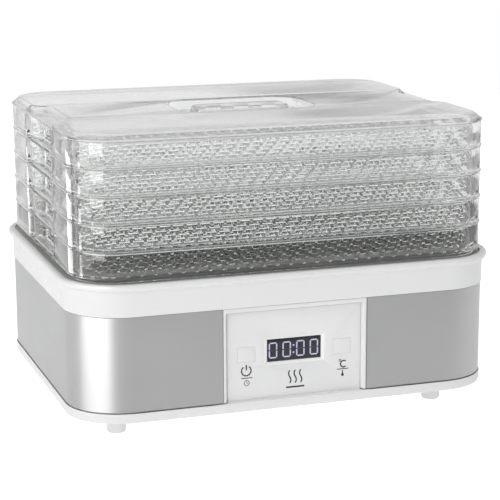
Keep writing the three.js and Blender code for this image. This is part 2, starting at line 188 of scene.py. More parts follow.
class Shape:
    """Gathers loops of points and the skins between them, then becomes one object."""

    def __init__(self):
        self.bm = bmesh.new()

    def loop(self, points, z):
        return [self.bm.verts.new((x * MM, y * MM, z * MM)) for x, y in points]

    def band(self, low, high, closed=True):
        """Quads between two loops of as many points, facing outwards when those run anticlockwise."""
        count = len(low)
        for k in range(count if closed else count - 1):
            n = (k + 1) % count
            self.bm.faces.new((low[k], low[n], high[n], high[k]))

    def skin(self, loops):
        for low, high in zip(loops, loops[1:]):
            self.band(low, high)

    def flat(self, loop, holes=(), up=True):
        """A level face inside a loop and outside its holes."""
        rings = [loop, *holes]
        corners = [v for ring in rings for v in ring]
        for tri in tessellate_polygon([[v.co for v in ring] for ring in rings]):
            a, b, c = (corners[i] for i in tri)
            rising = (b.co - a.co).cross(c.co - a.co).z > 0
            self.bm.faces.new((a, b, c) if rising == up else (c, b, a))

    def floor(self, low, high, z0, z1, holes):
        """Level faces across two loops, with the same holes through both."""
        inner = [(self.loop(h, z0), self.loop(h, z1)) for h in holes]
        for hole_low, hole_high in inner:
            self.band(hole_high, hole_low)
        self.flat(low, [pair[0] for pair in inner], up=False)
        self.flat(high, [pair[1] for pair in inner], up=True)

    def prism(self, points, z0, z1, holes=()):
        """A solid plate of that outline, with holes through it."""
        low, high = self.loop(points, z0), self.loop(points, z1)
        self.band(low, high)
        self.floor(low, high, z0, z1, holes)

    def turned(self, profile, cx=0.0, cy=0.0):
        """A solid turned about an upright axis, from (radius, z) points that run up its outside."""
        loops = [self.loop(circle(cx, cy, r, TURN_STEPS), z) for r, z in profile]
        self.skin(loops)
        self.flat(loops[0], up=False)
        self.flat(loops[-1], up=True)

    def turned_ring(self, profile, cx=0.0, cy=0.0):
        """A hollow solid turned about an upright axis, from the (radius, z) points round its section."""
        self.sweep([(circle(cx, cy, r, TURN_STEPS), z) for r, z in profile])

    def lay_along_y(self, x=0.0, z=0.0):
        """Turns what was built along Z to run towards +Y, and moves its axis to (x, z)."""
        for v in self.bm.verts:
            v.co = (v.co.x + x * MM, v.co.z, z * MM - v.co.y)

    def sweep(self, rings, gap=False):
        """A solid whose section is the closed run of rings, each (points, z), capped where it has a gap."""
        loops = [self.loop(points, z) for points, z in rings]
        for low, high in zip(loops, loops[1:] + loops[:1]):
            self.band(low, high, closed=not gap)
        if gap:
            self.bm.faces.new([ring[0] for ring in loops])
            self.bm.faces.new([ring[-1] for ring in reversed(loops)])

    def mesh(self, name):
        bmesh.ops.remove_doubles(self.bm, verts=self.bm.verts, dist=WELD)
        bmesh.ops.recalc_face_normals(self.bm, faces=self.bm.faces)
        mesh = bpy.data.meshes.new(name)
        self.bm.to_mesh(mesh)
        self.bm.free()
        mesh.shade_smooth()
        mesh.set_sharp_from_angle(angle=math.radians(SHARP_ANGLE))
        return mesh

    def piece(self, name, body, material, nodes=()):
        return place(self.mesh(name), name, body, material, nodes)


def place(mesh, name, body, material, nodes=(), lift=0.0):
    """Shows a mesh as a piece that rides on a body and stands for CAD nodes."""
    item = bpy.data.objects.new(name, mesh)
    bpy.context.scene.collection.objects.link(item)
    item.location.z = lift
    if not mesh.materials:
        mesh.materials.append(material)
    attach(item, body)
    if nodes:
        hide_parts(*nodes)
    return item


def bore(item, tool):
    """Cuts the shape of a tool out of a piece."""
    cutter = bpy.data.objects.new("cutter", tool.mesh("cutter"))
    bpy.context.scene.collection.objects.link(cutter)
    step = item.modifiers.new("bore", "BOOLEAN")
    step.operation = "DIFFERENCE"
    step.solver = "EXACT"
    step.object = cutter
    graph = bpy.context.evaluated_depsgraph_get()
    mesh = bpy.data.meshes.new_from_object(item.evaluated_get(graph))
    item.modifiers.clear()
    item.data = mesh
    bpy.data.objects.remove(cutter)


def box_mm(node):
    """Lowest and highest corner of a CAD node, in millimetres."""
    low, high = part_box(node)
    return Vector(low) / MM, Vector(high) / MM


def refined(node, body, material, bevel, segments=3, sharp=38):
    """A CAD node's solid with its sharp edges rounded, in the same place."""
    bm = bmesh.new()
    bm.from_mesh(frame["nodes"][node].data)
    bmesh.ops.remove_doubles(bm, verts=bm.verts, dist=MERGE)
    bmesh.ops.dissolve_limit(bm, angle_limit=math.radians(FLAT_ANGLE), verts=bm.verts, edges=bm.edges)
    least = math.radians(BEVEL_ANGLE)
    edges = [e for e in bm.edges if len(e.link_faces) == 2 and e.calc_face_angle(0) > least]
    bmesh.ops.bevel(bm, geom=edges, offset=bevel * MM, segments=segments, profile=0.5, affect="EDGES",
                    clamp_overlap=True)
    mesh = bpy.data.meshes.new(node + "_finished")
    bm.to_mesh(mesh)
    bm.free()
    mesh.shade_smooth()
    mesh.set_sharp_from_angle(angle=math.radians(sharp))
    return place(mesh, node + "_finished", body, material, (node,))


# ---- Materials ----


def noise(tree, scale, detail=2.0, stretch=(1, 1, 1)):
    """Noise over the object's own coordinates, in cycles per metre."""
    coords = tree.nodes.new("ShaderNodeTexCoord")
    mapping = tree.nodes.new("ShaderNodeMapping")
    mapping.inputs["Scale"].default_value = stretch
    texture = tree.nodes.new("ShaderNodeTexNoise")
    texture.inputs["Scale"].default_value = scale
    texture.inputs["Detail"].default_value = detail
    tree.links.new(coords.outputs["Object"], mapping.inputs["Vector"])
    tree.links.new(mapping.outputs["Vector"], texture.inputs["Vector"])
    return texture.outputs["Fac"]


def between(tree, factor, low, high):
    """Maps the middle of a noise to the range from low to high."""
    spread = tree.nodes.new("ShaderNodeMapRange")
    spread.inputs["From Min"].default_value = 0.3
    spread.inputs["From Max"].default_value = 0.7
    spread.inputs["To Min"].default_value = low
    spread.inputs["To Max"].default_value = high
    tree.links.new(factor, spread.inputs["Value"])
    return spread.outputs["Result"]


def shades(tree, factor, dark, light):
    """A colour between two, by a noise."""
    ramp = tree.nodes.new("ShaderNodeValToRGB")
    ramp.color_ramp.elements[0].position = 0.35
    ramp.color_ramp.elements[1].position = 0.65
    ramp.color_ramp.elements[0].color = (*dark, 1)
    ramp.color_ramp.elements[1].color = (*light, 1)
    tree.links.new(factor, ramp.inputs["Fac"])
    return ramp.outputs["Color"]


def relief(tree, factor, depth, strength=0.5):
    bump = tree.nodes.new("ShaderNodeBump")
    bump.inputs["Distance"].default_value = depth * MM
    bump.inputs["Strength"].default_value = strength
    tree.links.new(factor, bump.inputs["Height"])
    return bump.outputs["Normal"]


def principled(name, slot, **sockets):
    """A material with plain values on its shader's own sockets."""
    material = bpy.data.materials.new(name)
    material.use_nodes = True
    material["slot"] = slot
    tree = material.node_tree
    shader = tree.nodes["Principled BSDF"]
    for socket, value in sockets.items():
        shader.inputs[socket.replace("_", " ")].default_value = value
    return material, tree, shader


def solid_finish(name, slot, dark, light, rough, grain, depth, stretch=(1, 1, 1), **sockets):
    """An opaque finish, whose shade varies over large patches and its roughness and relief over a grain."""
    material, tree, shader = principled(name, slot, **sockets)
    tree.links.new(shades(tree, noise(tree, 9), dark, light), shader.inputs["Base Color"])
    fine = noise(tree, grain, 3, stretch)
    tree.links.new(between(tree, fine, *rough), shader.inputs["Roughness"])
    tree.links.new(relief(tree, fine, depth), shader.inputs["Normal"])
    return material


WHITE = solid_finish("white_gloss", "white_plastic", (0.85, 0.85, 0.845), (0.865, 0.865, 0.86),
                     (0.2, 0.28), 900, 0.01)
# A whiter copy of the white plastic for the chamfer round the display: a painted highlight.
WHITE_CHAMFER_PAINTED_HIGHLIGHT = solid_finish("white_chamfer_painted_highlight", "white_plastic", (0.96, 0.96, 0.955), (0.98, 0.98, 0.975),
                             (0.2, 0.28), 900, 0.01)
STEEL = solid_finish("brushed_band", "side_steel", (0.5, 0.5, 0.502), (0.53, 0.53, 0.532),
                     (0.34, 0.42), 60, 0.01, stretch=(1, 1, 60), Metallic=1.0, Anisotropic=0.8,
                     Anisotropic_Rotation=0.25)
steel_tree = STEEL.node_tree
brushing = steel_tree.nodes.new("ShaderNodeTangent")
brushing.axis = "Z"
steel_tree.links.new(brushing.outputs["Tangent"], steel_tree.nodes["Principled BSDF"].inputs["Tangent"])
FITTING = solid_finish("zinc_plate", "fitting_steel", (0.5, 0.51, 0.53), (0.6, 0.61, 0.62),
                       (0.3, 0.45), 1500, 0.01, Metallic=1.0)
BLACK = solid_finish("black_gloss", "dark_plastic", (0.012, 0.012, 0.015), (0.018, 0.018, 0.022),
                     (0.1, 0.18), 700, 0.005)
GREY = solid_finish("grey_satin", "grey_plastic", (0.36, 0.37, 0.365), (0.41, 0.42, 0.415),
                    (0.42, 0.55), 1200, 0.02)
DECK = solid_finish("dark_satin", "deck_plastic", (0.34, 0.35, 0.32), (0.37, 0.38, 0.35),
                    (0.35, 0.5), 1200, 0.02)
BOARD = solid_finish("solder_mask", "circuit_board", (0.02, 0.11, 0.05), (0.03, 0.14, 0.07),
                     (0.3, 0.45), 800, 0.02)
MICA = solid_finish("mica_sheet", "mica", (0.42, 0.33, 0.19), (0.55, 0.45, 0.28), (0.4, 0.7), 300, 0.03)
INK = solid_finish("grey_ink", "dark_plastic", (0.012, 0.012, 0.012), (0.018, 0.018, 0.018),
                   (0.5, 0.7), 2000, 0.002)
UNLIT = solid_finish("unlit_segment", "dark_plastic", (0.035, 0.036, 0.028), (0.04, 0.04, 0.03),
                     (0.3, 0.4), 2000, 0.002)


def clear_finish(name, rough):
    """A clear plastic: the light bends through it and passes on, a little less at each face."""
    material, tree, shader = principled(name, "clear_plastic", IOR=1.45, Transmission_Weight=1.0)
    tint = shades(tree, noise(tree, 14), (0.992, 0.995, 0.992), (0.995, 0.998, 0.995))
    tree.links.new(tint, shader.inputs["Base Color"])
    tree.links.new(between(tree, noise(tree, 35), *rough), shader.inputs["Roughness"])
    tree.links.new(relief(tree, noise(tree, 60, 1), 0.02, 0.1), shader.inputs["Normal"])
    return material


CLEAR = clear_finish("clear_moulding", (0.0, 0.02))
CLEAR_LID = clear_finish("clear_lid", (0.08, 0.11))

LIT, lit_tree, lit_shader = principled("lit_segment", "dark_plastic", Roughness=0.4,
                                       Emission_Strength=0.8, Base_Color=(0.05, 0.05, 0.06, 1))
lit_tree.links.new(shades(lit_tree, noise(lit_tree, 400), (0.60, 0.61, 0.88), (0.66, 0.67, 0.92)),
                   lit_shader.inputs["Emission Color"])

# ---- Base: rim, steel wrap and pan ----

FEET = [(i * 124, j * 88) for i in (-1, 1) for j in (-1, 1)]
PILLARS = [(i * 138, j * 104) for i in (-1, 1) for j in (-1, 1)]  # posts that the base screws join
DECK_SCREWS = [(i * 135.5, j * 60) for i in (-1, 1) for j in (-1, 1)]


def rim():
    low, high = box_mm("top_rim")
    lip = (high.x, high.y, RIM_CORNER + 3)
    wall = inset(lip, 3.15)
    mouth = inset(lip, 5.3)
    upstand = inset(wall, 2.1)
    top, foot, ledge = high.z, high.z - 23.6, high.z - 4.2
    section = [
        (inset(wall, 0.5), foot), (inset(wall, 0.1), foot + 0.15), (wall, foot + 0.5),
        (wall, top - 6.2), (inset(wall, -0.2), top - 5.4), (inset(lip, 2.3), top - 5.0),
        (inset(lip, 1.2), top - 4.8), (inset(lip, 0.4), top - 4.4), (lip, top - 3.6), (lip, top - 2.0),
        (inset(lip, 0.3), top - 1.0), (inset(lip, 1.0), top - 0.3), (inset(lip, 2.0), top),
        (inset(mouth, -1.1), top), (inset(mouth, -0.4), top - 0.3), (mouth, top - 1.1),
        (mouth, ledge + 0.6), (inset(mouth, 0.6), ledge), (RIM_WINDOW, ledge), (RIM_WINDOW, ledge - 2.4),
        (inset(upstand, 1.8), ledge - 2.4), (inset(upstand, 1.8), foot),
    ]
    shape = Shape()
    shape.sweep([(outline(*sizes), z) for sizes, z in section])
    for x, y in PILLARS:
        shape.turned_ring([(1.9, low.z), (5, low.z), (5, ledge - 1), (1.9, ledge - 1)], x, y)
    outer = outline(*upstand, gap=INNER_GAP)
    inner = outline(*inset(upstand, 1.8), gap=INNER_GAP)
    tongue = [(outer, foot - 6.4), (outer, foot + 0.8), (inner, foot + 0.8), (inner, foot - 6.4)]
    shape.sweep(tongue, gap=True)
    shape.piece("rim_moulding", "base", WHITE, ["top_rim"])


def steel_wrap():
    low, high = box_mm("side_band")
    outer = (high.x, high.y, STEEL_CORNER)
    inner = inset(outer, STEEL_WALL)
    edge = inset(outer, 0.15)
    section = [(edge, low.z), (outer, low.z + 0.15), (outer, high.z - 0.15), (edge, high.z),
               (inner, high.z), (inner, low.z)]
    shape = Shape()
    shape.sweep([(outline(*sizes, gap=PANEL_GAP), z) for sizes, z in section], gap=True)
    wrap = shape.piece("steel_wrap", "base", STEEL, ["side_band"])
    bush_low, bush_high = box_mm("cord_bush")
    middle = (bush_low + bush_high) / 2
    drill = Shape()
    drill.turned([(BUSH_HOLE, y) for y in BUSH_DRILL])
    drill.lay_along_y(middle.x, middle.z)
    bore(wrap, drill)


def pan():
    low, high = box_mm("base_pan")
    outer = (high.x, high.y, PAN_CORNER)
    lip = inset(outer, 2)
    inside = inset(lip, 1.8)
    foot, top, deck = low.z, low.z + 7.3, low.z + 2.5
    section = [(inset(outer, 1.3), foot), (inset(outer, 0.5), foot + 0.3), (inset(outer, 0.1), foot + 0.9),
               (outer, foot + 1.6), (outer, top - 0.4), (inset(outer, 0.1), top - 0.1),
               (inset(outer, 0.4), top), (inset(outer, 0.6), top - 3), (lip, top - 3), (lip, top),
               (inside, top), (inside, deck)]
    shape = Shape()
    loops = [shape.loop(outline(*sizes), z) for sizes, z in section]
    shape.skin(loops)
    holes = [circle(0, 0, INTAKE_RADIUS, 72)]
    holes += [circle(x, y, 3.3, 24) for x, y in FEET]
    holes += [circle(x, y, 4.2) for x, y in PILLARS]
    shape.floor(loops[0], loops[-1], foot, deck, holes)
    outer_edge = outline(*lip, gap=INNER_GAP)
    inner_edge = outline(*inside, gap=INNER_GAP)
    wall = [(outer_edge, top - 1), (outer_edge, high.z), (inner_edge, high.z), (inner_edge, top - 1)]
    shape.sweep(wall, gap=True)
    cup = [(4.2, deck), (7, deck), (7, deck + 4.2), (2, deck + 4.2), (2, deck + 1.5), (4.2, deck + 1.5)]
    for x, y in PILLARS:
        shape.turned_ring(cup, x, y)
    # Under the panel the steel's groove is filled, and a sill closes the gap under the fascia.
    fascia = box_mm("panel_fascia")[0]
    groove_foot = top - 3.5
    shape.prism(rectangle(PANEL_GAP, 0.7, 0, 1.3 - high.y), groove_foot, top)
    shape.prism(rectangle(*SILL, 0, fascia.y + 1.2), groove_foot, fascia.z - 0.05)
    for x in BRACKET_POSTS:
        shape.prism(rectangle(*BRACKET_POST, x, 0), deck, BRACKET_POST_TOP, [circle(x, 0, 1.9, 20)])
    for x, y in BOARD_POSTS:
        shape.prism(rectangle(*BOARD_POST, x, y), deck, BOARD_POST_TOP)
    shape.piece("pan_moulding", "base", WHITE, ["base_pan"])


def feet():
    for number in range(1, 5):
        node = f"foot_{number}"
        low, high = box_mm(node)
        middle = (low + high) / 2
        radius = high.x - middle.x
        shoulder = low.z + 17
        shape = Shape()
        shape.turned([(radius - 2, low.z), (radius - 1, low.z + 0.25), (radius - 0.3, low.z + 0.9),
                      (radius, low.z + 1.9), (radius, shoulder), (3, shoulder), (3, high.z - 0.4),
                      (2.6, high.z)], middle.x, middle.y)
        shape.piece(f"foot_{number}_finished", "base", WHITE, [node])


def slot_outline(x0, x1, y, half_width):
    """A slot with round ends, along X."""
    ends = []
    for x, start in ((x1 - half_width, -90), (x0 + half_width, 90)):
        turns = [math.radians(start + 180 * k / SLOT_STEPS) for k in range(SLOT_STEPS + 1)]
        ends += [(x + half_width * math.cos(t), y + half_width * math.sin(t)) for t in turns]
    return ends


def air_deck():
    low, high = box_mm("air_deck")
    slots = []
    pitch = DECK_GRILLE / 4.7
    for row in DECK_ROWS:
        y = row * pitch
        half = math.sqrt(DECK_GRILLE**2 - y**2)
        slots += [slot_outline(x0, x1, y, DECK_GRILLE / 16) for x0, x1 in ((3, half), (-half, -3))]
    screws = [circle(x, y, 2, 20) for x, y in DECK_SCREWS]
    shape = Shape()
    shape.prism(outline(high.x, high.y, DECK_CORNER), low.z, high.z, slots + screws)
    shape.piece("air_deck_finished", "base", DECK, ["air_deck"])


# ---- Trays ----


def grid_steps():
    """X edges of the cells that the bars of two neighbouring rows of bricks share."""
    bar = HOLE_PITCH[0] - HOLE[0]
    count = round(2 * TRAY_FLOOR[0] / HOLE_PITCH[0]) + 2
    middles = [(k - count) * HOLE_PITCH[0] / 2 for k in range(2 * count + 1)]
    return [x + side * bar / 2 for x in middles for side in (-1, 1)]


def inside_outline(points, x, y):
    """Whether a point lies inside a closed outline."""
    crossings = 0
    for (x0, y0), (x1, y1) in zip(points, points[1:] + points[:1]):
        if (y0 > y) != (y1 > y) and x < x0 + (y - y0) * (x1 - x0) / (y1 - y0):
            crossings += 1
    return crossings % 2 == 1


def grid_cells(xs, ys):
    """The solid cells and the holes of a floor inside its wall, as sets of (column, row)."""
    wall = outline(*inset(TRAY_FLOOR, GRID_EDGE), WAIST_DEPTH)
    solid, holes = set(), set()
    for j in range(len(ys) - 1):
        for i in range(len(xs) - 1):
            corners = [(x, y) for x in xs[i:i + 2] for y in ys[j:j + 2]]
            if not all(inside_outline(wall, x, y) for x, y in corners):
                continue
            on_bar = i % 4 == (0 if j % 4 == 1 else 2)
            (holes if j % 2 and not on_bar else solid).add((i, j))
    return solid, holes


def edge_round(cells):
    """Grid corners round the outside of a set of cells, anticlockwise."""
    follow = {}
    for i, j in cells:
        ends = [(i, j), (i + 1, j), (i + 1, j + 1), (i, j + 1)]
        for k, beside in enumerate(((i, j - 1), (i + 1, j), (i, j + 1), (i - 1, j))):
            if beside not in cells:
                follow[ends[k]] = ends[(k + 1) % 4]
    first = min(follow)
    ring, step = [first], follow[first]
    while step != first:
        ring.append(step)
        step = follow[step]
    return ring


def grid_floor(shape, low_loop, high_loop, z0, z1):
    """A floor between two loops whose middle is a fine grid of oblong holes."""
    xs = grid_steps()
    ys = [(k // 2 - HOLE_ROWS / 2) * HOLE_PITCH[1] + (HOLE_PITCH[1] - HOLE[1] if k % 2 else 0)
          for k in range(2 * HOLE_ROWS + 2)]
    middle = (ys[0] + ys[-1]) / 2
    ys = [y - middle for y in ys]
    solid, holes = grid_cells(xs, ys)
    layers = [{}, {}]

    def at(layer, i, j):
        if (i, j) not in layers[layer]:
            z = (z0, z1)[layer]
            layers[layer][i, j] = shape.bm.verts.new((xs[i] * MM, ys[j] * MM, z * MM))
        return layers[layer][i, j]

    def around(layer, i, j):
        return [at(layer, i, j), at(layer, i + 1, j), at(layer, i + 1, j + 1), at(layer, i, j + 1)]

    for i, j in sorted(solid):
        shape.bm.faces.new(around(0, i, j)[::-1])
        shape.bm.faces.new(around(1, i, j))
    for i, j in sorted(holes):
        for k, beside in enumerate(((i, j - 1), (i + 1, j), (i, j + 1), (i - 1, j))):
            if beside not in holes:
                low, high = around(0, i, j), around(1, i, j)
                n = (k + 1) % 4
                shape.bm.faces.new((low[n], low[k], high[k], high[n]))
    ring = edge_round(solid | holes)
    for layer, loop, up in ((0, low_loop, False), (1, high_loop, True)):
        shape.flat(loop, [[at(layer, i, j) for i, j in ring]], up)


def tray_mesh():
    """One tray, as it stands in the lowest place."""
    low, high = box_mm("tray_1")
    bead = (high.x, high.y, BEAD_CORNER)
    foot, top = low.z + SKIRT_DEPTH, high.z
    floor_top = foot + FLOOR_THICK
    bead_top = foot + 1.2
    waist, proud = WAIST_DEPTH, RIB[1]
    section = [  # inset from the bead, depth of the recesses, how far the ribs stand proud, Z
        (3.7, waist, 0, floor_top), (3.0, waist, proud, floor_top + 0.1),
        (2.75, waist, proud, floor_top + 0.5), (2.7, waist, proud, top - 0.5),
        (2.55, waist, proud, top - 0.12), (2.2, waist, 0, top),
        (1.4, waist, 0, top), (1.0, waist, 0, top - 0.12), (0.8, waist, 0, top - 0.5),
        (0.8, waist, 0, bead_top + 0.3), (0.6, waist, 0, bead_top),
        (0.35, 0, 0, bead_top), (0.1, 0, 0, bead_top - 0.15), (0, 0, 0, bead_top - 0.4),
        (0, 0, 0, foot + 0.4), (0.1, 0, 0, foot + 0.15), (0.35, 0, 0, foot),
        (3.5, waist, 0, foot), (3.8, waist, 0, foot - 0.3), (3.8, waist, 0, low.z + 0.3),
        (4.1, waist, 0, low.z), (5.3, waist, 0, low.z), (5.6, waist, 0, low.z + 0.3), (5.6, waist, 0, foot),
    ]
    shape = Shape()
    loops = [shape.loop(outline(*inset(bead, by), depth, ribs=ribs), z) for by, depth, ribs, z in section]
    shape.skin(loops)
    grid_floor(shape, loops[-1], loops[0], foot, floor_top)
    return shape.mesh("tray_moulding")


def trays():
    mesh = tray_mesh()
    first = box_mm("tray_1")[0].z
    for number in range(1, 6):
        node = f"tray_{number}"
        lift = (box_mm(node)[0].z - first) * MM
        place(mesh, f"{node}_moulding", node, CLEAR, [node], lift)


# ---- Lid ----


def lid():
    high = box_mm("lid")[1]
    bead = (high.x, high.y, BEAD_CORNER)
    foot, top = high.z - LID_HEIGHT, high.z
    skirt_end = foot - SKIRT_DEPTH
    crown = inset(bead, 0.8)
    brow = (high.x - LID_TOP_INSET[0], high.y - LID_TOP_INSET[1], LID_TOP_CORNER)
    skirt = inset(bead, 3.8)
    under = top - LID_SKIN
    well_floor = top - WELL_DEPTH
    waist = WAIST_DEPTH
    outside = [  # half sizes and corner radius, depth of the recesses, Z
        (skirt, waist, foot), (inset(bead, 0.4), 0, foot), (bead, 0, foot + 0.3),
        (bead, 0, foot + 0.9), (inset(bead, 0.4), 0, foot + 1.2), (crown, waist, foot + 1.2),
        (inset(brow, -0.9), waist, top - 0.7), (inset(brow, -0.3), waist, top - 0.15),
        (inset(brow, 0.5), waist, top),
    ]
    inside = [
        (inset(brow, 2.4), waist, under), (inset(brow, 1.8), waist, under - 0.3),
        (inset(skirt, 1.8), waist, foot + 0.6), (inset(skirt, 1.8), waist, skirt_end + 0.3),
        (inset(skirt, 1.5), waist, skirt_end), (inset(skirt, 0.3), waist, skirt_end),
        (skirt, waist, skirt_end + 0.3), (skirt, waist, foot),
    ]
    shape = Shape()
    upper = [shape.loop(outline(*sizes, depth), z) for sizes, depth, z in outside]
    lower = [shape.loop(outline(*sizes, depth), z) for sizes, depth, z in inside]
    shape.skin(upper)
    shape.skin(lower)
    well = [(inset(WELL, 1.0), top), (inset(WELL, 1.6), top - 0.2), (inset(WELL, 2.1), top - 0.8),
            (inset(WELL, 4.8), well_floor + 0.7), (inset(WELL, 5.8), well_floor)]
    well_under = [(inset(WELL, 0.2), under), (inset(WELL, 3.4), well_floor - 1.2),
                  (inset(WELL, 4.2), well_floor - 2)]
    bar = [(inset(GRIP, -0.5), well_floor), (GRIP, well_floor + 0.6), (inset(GRIP, 1.3), top - 1.6),
           (inset(GRIP, 1.9), top - 0.9), (inset(GRIP, 2.8), top - 0.7)]
    bar_under = [(inset(GRIP, 2.2), well_floor - 2), (inset(GRIP, 3.5), top - 2.7)]
    runs = []
    for run in (well, well_under, bar, bar_under):
        loops = [shape.loop(outline(*sizes), z) for sizes, z in run]
        shape.skin(loops)
        runs.append(loops)
    well_loops, well_under_loops, bar_loops, bar_under_loops = runs
    shape.flat(upper[-1], [well_loops[0]], up=True)
    shape.flat(lower[0], [well_under_loops[0]], up=False)
    shape.flat(well_loops[-1], [bar_loops[0]], up=True)
    shape.flat(well_under_loops[-1], [bar_under_loops[0]], up=False)
    half_length, half_width = VENT
    vents = [slot_outline(x - half_length, x + half_length, 0, half_width) for x in VENTS]
    shape.floor(bar_under_loops[-1], bar_loops[-1], top - 2.7, top - 0.7, vents)
    shape.piece("lid_moulding", "lid", CLEAR_LID, ["lid"])


# ---- Control panel ----

PANEL_INK = 0.04  # thickness of the prints on the fascia
STROKE = 0.95
FINE_STROKE = 0.45
RULE_STROKE = 0.65
ARC_POINTS = 24  # steps along an arc of a print
POWER_MARK = (-36.7, 46.8, 3.6)  # X, Z and radius
POWER_RULE = ((-40.5, 41.4), (-32.2, 41.4))
CLOCK_MARK = (-36.4, 37.7, 1.9)
CELSIUS_MARK = (37.2, 45.4, 6.8)  # X, Z and height
CELSIUS_RULE = ((32.8, 41.3), (41.6, 41.3))
THERMOMETER_MARK = (37.2, 38.0, 4.4)
WARM_AIR_MARK = (0.5, 38.0, 14, 13)  # X, Z, width and height
# The next two pick the chamfer faces round the display that get the painted highlight.
CHAMFER_FACE = 20  # square millimetres, less than a face of the chamfer and more than a rounded edge
CHAMFER_SLOPE = (0.7, 0.95)  # how far the faces of the chamfer turn towards the front
CAP_GROWTH = 0.1  # how much the caps of the buttons are widened on each side


def stroke(points, width=STROKE):
    """The outline of a line of even width through these points."""
    left, right = [], []
    for k, point in enumerate(points):
        ahead = Vector(points[min(k + 1, len(points) - 1)])
        behind = Vector(points[max(k - 1, 0)])
        run = (ahead - behind).normalized()
        side = Vector((-run.y, run.x)) * width / 2
        left.append(tuple(Vector(point) + side))
        right.append(tuple(Vector(point) - side))
    return right + left[::-1]


def arc(cx, cz, radius, start, stop):
    turns = [math.radians(start + (stop - start) * k / ARC_POINTS) for k in range(ARC_POINTS + 1)]
    return [(cx + radius * math.cos(t), cz + radius * math.sin(t)) for t in turns]


class Print(Shape):
    """Thin marks on an upright face, drawn in X and Z from a front depth to a back depth in Y."""

    def __init__(self, front, back):
        super().__init__()
        self.front, self.back = front, back

    def area(self, points, holes=()):
        turned = [[(x, -z) for x, z in ring] for ring in (points, *holes)]
        self.prism(turned[0], self.front, self.back, turned[1:])

    def line(self, points, width=STROKE):
        self.area(stroke(points, width))

    def ring(self, cx, cz, radius):
        half = FINE_STROKE / 2
        self.area(circle(cx, cz, radius + half, 40), [circle(cx, cz, radius - half, 40)])

    def finish(self, name, material):
        self.lay_along_y()
        self.piece(name, "base", material)


def power_mark(marks, x, z, radius):
    marks.line(arc(x, z, radius, 125, 415))
    marks.line([(x, z + radius * 0.15), (x, z + radius * 1.25)])


def clock_mark(marks, x, z, radius):
    marks.ring(x, z, radius)
    marks.line([(x, z + radius * 0.65), (x, z), (x + radius * 0.5, z - radius * 0.25)], 0.4)


def thermometer_mark(marks, x, z, height):
    bulb = height * 0.24
    marks.area(circle(x, z - height / 2 + bulb, bulb, 24))
    marks.line([(x, z - height / 2 + bulb * 1.9), (x, z + height / 2)], bulb * 0.8)


def celsius_mark(marks, x, z, height):
    marks.ring(x - height * 0.31, z + height * 0.36, height * 0.11)
    marks.line(arc(x + height * 0.12, z - height * 0.05, height * 0.36, 50, 310))


def warm_air_mark(marks, x, z, width, height):
    """Three rising waves of air over a flat tray."""
    rise = [k / 20 for k in range(21)]
    for k in (-1, 0, 1):
        middle = x + k * width * 0.3
        wave = [(middle + math.sin(t * 2 * math.pi) * width * 0.06, z - height * 0.28 + height * 0.75 * t)
                for t in rise]
        marks.line(wave, 1.0)
    marks.line([(x - width / 2, z - height / 2), (x + width / 2, z - height / 2)], 1.2)


def segment(marks, x, z, length, level):
    """One bar of a seven-segment digit, with pointed ends."""
    half, side = length / 2, SEGMENT / 2
    points = [(-half, 0), (-half + side, -side), (half - side, -side), (half, 0), (half - side, side),
              (-half + side, side)]
    marks.area([(x + u, z + v) if level else (x + v, z + u) for u, v in points])


DIGITS = (-16.05, -5.6, 4.85, 15.25)  # X of their middles
DIGIT_WIDTH = 5.5
DIGIT_HEIGHT = 10.8
DIGIT_Z = 59.75
SEGMENT = 0.95  # width of a segment
SEGMENT_GAP = 0.4


def display():
    front = box_mm("display_window")[0].y
    lit = Print(front - 0.05, front)
    unlit = Print(front - 0.04, front)
    half = DIGIT_HEIGHT / 2
    level, upright = DIGIT_WIDTH - SEGMENT_GAP, half - SEGMENT_GAP
    for x in DIGITS:
        for end in (-1, 1):
            segment(lit, x, DIGIT_Z + end * half, level, True)
            for side in (-1, 1):
                segment(lit, x + side * DIGIT_WIDTH / 2, DIGIT_Z + end * half / 2, upright, False)
        segment(unlit, x, DIGIT_Z, level, True)
    for end in (-1, 1):
        lit.area(rectangle(0.6, 0.6, -0.4, DIGIT_Z + end * 2.7))
    lit.finish("lit_segments", LIT)
    unlit.finish("unlit_segments", UNLIT)


def paint_chamfer_highlight(fascia):
    """Gives the sloping faces round the display a whiter copy of the white plastic, a painted highlight."""
    fascia.data.materials.append(WHITE_CHAMFER_PAINTED_HIGHLIGHT)
    least, most = CHAMFER_SLOPE
    for face in fascia.data.polygons:
        if least < abs(face.normal.y) < most and face.area > CHAMFER_FACE * MM**2:
            face.material_index = 1


def widen(button):
    """Narrows the gap round a button's cap."""
    middle = sum((v.co for v in button.data.vertices), Vector()) / len(button.data.vertices)
    for v in button.data.vertices:
        v.co.x += math.copysign(CAP_GROWTH * MM, v.co.x - middle.x)
        v.co.z += math.copysign(CAP_GROWTH * MM, v.co.z - middle.z)


def panel():
    refined("panel_frame", "base", WHITE, 0.45)
    paint_chamfer_highlight(refined("panel_fascia", "base", WHITE, 0.12, sharp=20))
    refined("display_window", "base", BLACK, 0.15)
    widen(refined("time_button", "time_button", WHITE, 0.1))
    widen(refined("temperature_button", "temperature_button", WHITE, 0.1))
    front = box_mm("panel_fascia")[0].y
    marks = Print(front - PANEL_INK, front)
    power_mark(marks, *POWER_MARK)
    marks.line(POWER_RULE, RULE_STROKE)
    clock_mark(marks, *CLOCK_MARK)
    celsius_mark(marks, *CELSIUS_MARK)
    marks.line(CELSIUS_RULE, RULE_STROKE)
    thermometer_mark(marks, *THERMOMETER_MARK)
    warm_air_mark(marks, *WARM_AIR_MARK)
    marks.finish("panel_print", INK)
    display()


# ---- Fittings and what is inside the base ----


